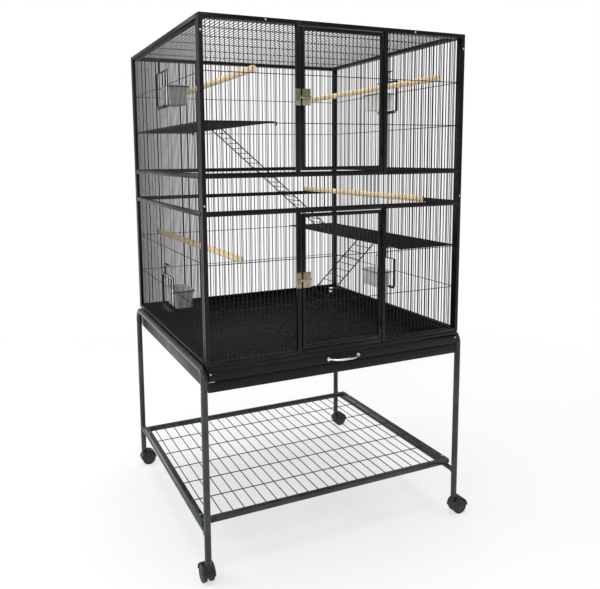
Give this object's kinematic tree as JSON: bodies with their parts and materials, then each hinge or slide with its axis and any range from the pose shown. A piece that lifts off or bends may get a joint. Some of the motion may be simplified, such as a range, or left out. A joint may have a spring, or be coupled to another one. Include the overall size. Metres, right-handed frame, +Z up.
{
  "type": "bird cage on stand",
  "caption": "Tall square wire flight cage with front doors, side feeders, perches, platforms and ladders, on a tubular rolling stand with a wire shelf.",
  "frame": {"origin": "middle of the object's box on the floor", "axes": "+Z up; the doors and tray face -Y; +X is to the right seen from the front"},
  "size_m": [0.9074, 0.8334, 1.526],
  "materials": {
    "cage_enamel": "black enamel, satin",
    "wire_coating": "black enamel on wire, satin",
    "stand_enamel": "hammered dark grey enamel, semi-gloss",
    "latch_zinc": "yellow zinc plate, satin",
    "handle_chrome": "polished",
    "perch_wood": "bare pine, sanded",
    "feeder_plastic": "translucent white, glossy",
    "caster_plastic": "black nylon, satin",
    "caster_tread": "black nylon, matt"
  },
  "bodies": {
    "cage": {"front_left_bay": "cage_enamel", "front_right_bay": "cage_enamel", "front_middle_band": "cage_enamel", "door_header": "cage_enamel", "door_sill": "cage_enamel", "back_panel": "cage_enamel", "left_panel": "cage_enamel", "right_panel": "cage_enamel", "top_panel": "cage_enamel", "upper_door_hinge_pin": "cage_enamel", "lower_door_hinge_pin": "cage_enamel", "upper_latch_keeper": "latch_zinc", "lower_latch_keeper": "latch_zinc", "upper_left_perch": "perch_wood", "upper_right_perch": "perch_wood", "middle_right_perch": "perch_wood", "lower_left_perch": "perch_wood", "upper_platform": "wire_coating", "lower_platform": "wire_coating", "upper_ladder": "wire_coating", "lower_ladder": "wire_coating", "base_left_wall": "cage_enamel", "base_right_wall": "cage_enamel", "base_back_wall": "cage_enamel", "base_front_rail": "cage_enamel", "stand_left_tube": "stand_enamel", "stand_left_legs": "stand_enamel", "stand_right_tube": "stand_enamel", "stand_right_legs": "stand_enamel", "lower_shelf": "stand_enamel"},
    "upper_door_leaf": {"upper_door": "cage_enamel", "upper_latch_base": "latch_zinc"},
    "lower_door_leaf": {"lower_door": "cage_enamel", "lower_latch_base": "latch_zinc"},
    "upper_door_lever": {"upper_latch_lever": "latch_zinc"},
    "lower_door_lever": {"lower_latch_lever": "latch_zinc"},
    "pull_out_tray": {"tray": "cage_enamel", "tray_handle": "handle_chrome"},
    "pull_out_grate": {"floor_grate": "cage_enamel"},
    "left_lower_feeder": {"left_lower_feeder_door": "cage_enamel", "left_lower_feeder_cup": "feeder_plastic"},
    "left_lower_feeder_latch_strap": {"left_lower_feeder_latch": "cage_enamel"},
    "left_upper_feeder": {"left_upper_feeder_door": "cage_enamel", "left_upper_feeder_cup": "feeder_plastic"},
    "left_upper_feeder_latch_strap": {"left_upper_feeder_latch": "cage_enamel"},
    "right_lower_feeder": {"right_lower_feeder_door": "cage_enamel", "right_lower_feeder_cup": "feeder_plastic"},
    "right_lower_feeder_latch_strap": {"right_lower_feeder_latch": "cage_enamel"},
    "right_upper_feeder": {"right_upper_feeder_door": "cage_enamel", "right_upper_feeder_cup": "feeder_plastic"},
    "right_upper_feeder_latch_strap": {"right_upper_feeder_latch": "cage_enamel"},
    "front_left_swivel": {"front_left_caster_hood": "caster_plastic"},
    "front_left_wheels": {"front_left_caster_wheels": "caster_tread"},
    "front_right_swivel": {"front_right_caster_hood": "caster_plastic"},
    "front_right_wheels": {"front_right_caster_wheels": "caster_tread"},
    "back_left_swivel": {"back_left_caster_hood": "caster_plastic"},
    "back_left_wheels": {"back_left_caster_wheels": "caster_tread"},
    "back_right_swivel": {"back_right_caster_hood": "caster_plastic"},
    "back_right_wheels": {"back_right_caster_wheels": "caster_tread"}
  },
  "joints": [
    {"name": "upper_door_hinge", "type": "hinge", "parent": "cage", "child": "upper_door_leaf", "pos_m": [0.11716, -0.3928, 1.32115], "axis": [0, 0, 1], "range_deg": [0, 160]},
    {"name": "upper_door_latch_pivot", "type": "hinge", "parent": "upper_door_leaf", "child": "upper_door_lever", "pos_m": [-0.12984, -0.3926, 1.32715], "axis": [0, 1, 0], "range_deg": [0, 100]},
    {"name": "lower_door_hinge", "type": "hinge", "parent": "cage", "child": "lower_door_leaf", "pos_m": [0.11716, -0.3928, 0.82265], "axis": [0, 0, 1], "range_deg": [0, 160]},
    {"name": "lower_door_latch_pivot", "type": "hinge", "parent": "lower_door_leaf", "child": "lower_door_lever", "pos_m": [-0.12984, -0.3926, 0.82865], "axis": [0, 1, 0], "range_deg": [0, 100]},
    {"name": "left_lower_feeder_hinge", "type": "hinge", "parent": "cage", "child": "left_lower_feeder", "pos_m": [-0.42614, 0.0076, 0.6918], "axis": [0, -1, 0], "range_deg": [0, 70]},
    {"name": "left_lower_feeder_latch_pivot", "type": "hinge", "parent": "cage", "child": "left_lower_feeder_latch_strap", "pos_m": [-0.42614, 0.0076, 0.836], "axis": [0, 1, 0], "range_deg": [0, 100]},
    {"name": "left_upper_feeder_hinge", "type": "hinge", "parent": "cage", "child": "left_upper_feeder", "pos_m": [-0.42614, 0.0076, 1.3198], "axis": [0, -1, 0], "range_deg": [0, 70]},
    {"name": "left_upper_feeder_latch_pivot", "type": "hinge", "parent": "cage", "child": "left_upper_feeder_latch_strap", "pos_m": [-0.42614, 0.0076, 1.464], "axis": [0, 1, 0], "range_deg": [0, 100]},
    {"name": "right_lower_feeder_hinge", "type": "hinge", "parent": "cage", "child": "right_lower_feeder", "pos_m": [0.39946, 0.0076, 0.6918], "axis": [0, 1, 0], "range_deg": [0, 70]},
    {"name": "right_lower_feeder_latch_pivot", "type": "hinge", "parent": "cage", "child": "right_lower_feeder_latch_strap", "pos_m": [0.39946, 0.0076, 0.836], "axis": [0, -1, 0], "range_deg": [0, 100]},
    {"name": "right_upper_feeder_hinge", "type": "hinge", "parent": "cage", "child": "right_upper_feeder", "pos_m": [0.39946, 0.0076, 1.3198], "axis": [0, 1, 0], "range_deg": [0, 70]},
    {"name": "right_upper_feeder_latch_pivot", "type": "hinge", "parent": "cage", "child": "right_upper_feeder_latch_strap", "pos_m": [0.39946, 0.0076, 1.464], "axis": [0, -1, 0], "range_deg": [0, 100]},
    {"name": "tray_slide", "type": "slide", "parent": "cage", "child": "pull_out_tray", "axis": [0, -1, 0], "range_m": [0, 0.7]},
    {"name": "grate_slide", "type": "slide", "parent": "cage", "child": "pull_out_grate", "axis": [0, -1, 0], "range_m": [0, 0.7]},
    {"name": "front_left_caster_swivel", "type": "hinge", "parent": "cage", "child": "front_left_swivel", "pos_m": [-0.43534, -0.3831, 0.05], "axis": [0, 0, 1], "continuous": true},
    {"name": "front_left_wheel_spin", "type": "hinge", "parent": "front_left_swivel", "child": "front_left_wheels", "pos_m": [-0.43534, -0.3671, 0.025], "axis": [1, 0, 0], "continuous": true},
    {"name": "front_right_caster_swivel", "type": "hinge", "parent": "cage", "child": "front_right_swivel", "pos_m": [0.40866, -0.3831, 0.05], "axis": [0, 0, 1], "continuous": true},
    {"name": "front_right_wheel_spin", "type": "hinge", "parent": "front_right_swivel", "child": "front_right_wheels", "pos_m": [0.42466, -0.3831, 0.025], "axis": [0, 1, 0], "continuous": true},
    {"name": "back_left_caster_swivel", "type": "hinge", "parent": "cage", "child": "back_left_swivel", "pos_m": [-0.43534, 0.3983, 0.05], "axis": [0, 0, 1], "continuous": true},
    {"name": "back_left_wheel_spin", "type": "hinge", "parent": "back_left_swivel", "child": "back_left_wheels", "pos_m": [-0.41934, 0.3983, 0.025], "axis": [0, 1, 0], "continuous": true},
    {"name": "back_right_caster_swivel", "type": "hinge", "parent": "cage", "child": "back_right_swivel", "pos_m": [0.40866, 0.3983, 0.05], "axis": [0, 0, 1], "continuous": true},
    {"name": "back_right_wheel_spin", "type": "hinge", "parent": "back_right_swivel", "child": "back_right_wheels", "pos_m": [0.42466, 0.3983, 0.025], "axis": [0, 1, 0], "continuous": true}
  ]
}
